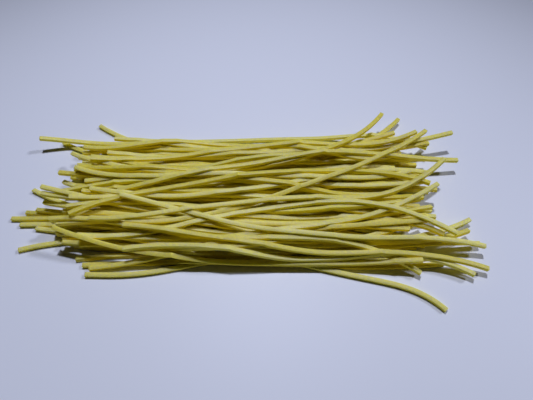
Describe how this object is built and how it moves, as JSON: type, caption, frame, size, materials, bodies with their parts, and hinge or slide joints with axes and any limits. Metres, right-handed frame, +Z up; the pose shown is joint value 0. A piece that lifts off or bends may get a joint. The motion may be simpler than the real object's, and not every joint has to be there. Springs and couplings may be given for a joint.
{
  "type": "loose heap of long dry pasta strands",
  "caption": "Low loose heap of long, gently wavy, square-cut dry pasta strands lying side by side, their ends fanning out at both sides.",
  "frame": {"origin": "centre of the bounding box's base, on the table", "axes": "+X along the strands to the viewer's right, +Y away from the viewer across the heap, +Z up"},
  "size_m": [0.2974, 0.1482, 0.0254],
  "materials": {
    "pasta_heap": "matte, floury"
  },
  "bodies": {
    "root": {"pasta_heap": "pasta_heap"}
  },
  "joints": []
}
